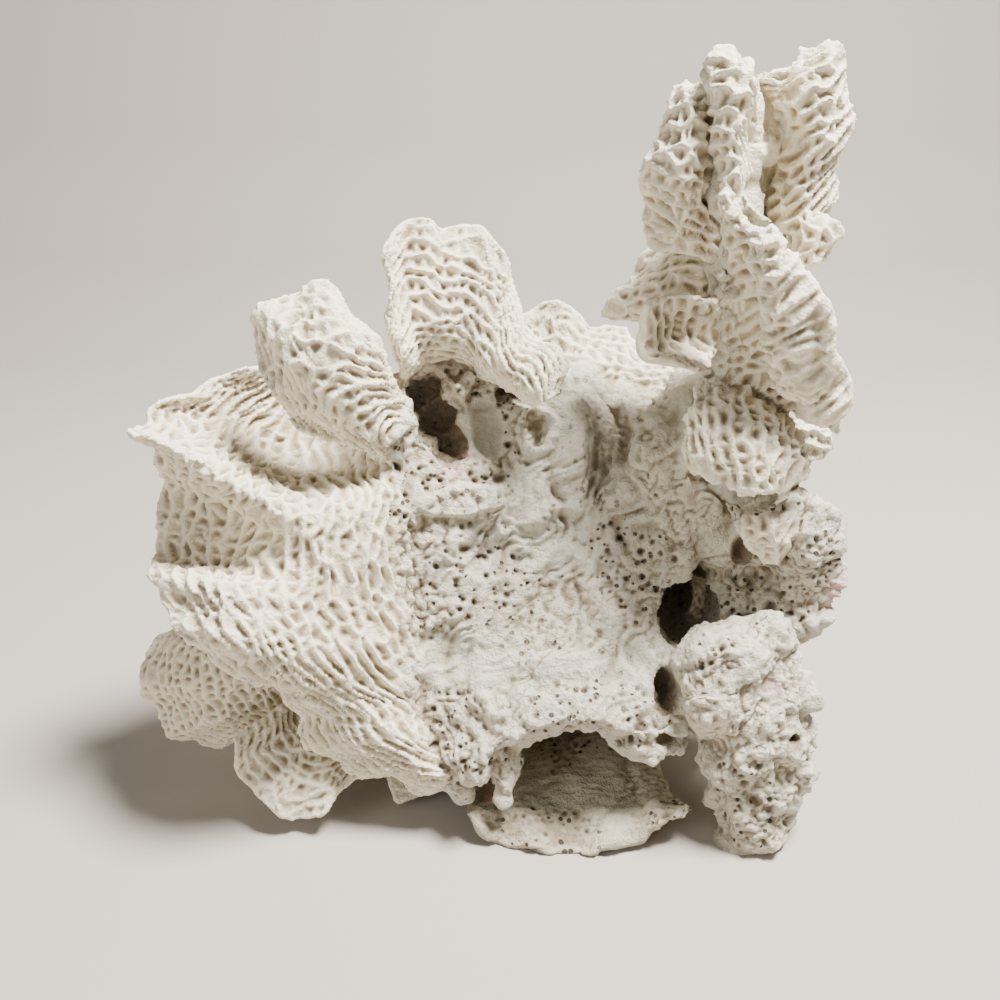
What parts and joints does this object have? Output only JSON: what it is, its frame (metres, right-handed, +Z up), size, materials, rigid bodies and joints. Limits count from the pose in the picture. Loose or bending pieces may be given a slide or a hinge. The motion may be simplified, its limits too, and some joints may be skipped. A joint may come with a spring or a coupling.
{
  "type": "lettuce coral",
  "caption": "Dry white leafy coral: folded, ridged leaves and a tall ridged tower round a hollow porous rock core, cut flat underneath.",
  "frame": {"origin": "middle of the flat cut under the core, at the height of the floor it rests on", "axes": "+Z up, away from the cut; -Y is the front with the hollow; +X is to the right, on the tower's side"},
  "size_m": [0.2755, 0.1366, 0.2773],
  "materials": {
    "leaf": "dry chalky aragonite, matt, ridged",
    "rock": "dry chalky aragonite, matt, porous",
    "shaded_plate": "dry chalky aragonite, matt, greyish"
  },
  "bodies": {
    "root": {"core_rock": "rock", "foot_rock": "rock", "base_plate": "shaded_plate", "tower": "leaf", "tower_left_leaf": "leaf", "tower_cup": "leaf", "tower_wing": "leaf", "tower_side_leaf": "leaf", "tower_crown": "leaf", "upper_left_leaf": "leaf", "left_frill": "leaf", "lower_left_leaf": "leaf", "lower_front_leaf": "leaf", "small_leaf": "leaf", "top_leaf": "leaf", "back_leaf": "leaf"}
  },
  "joints": []
}
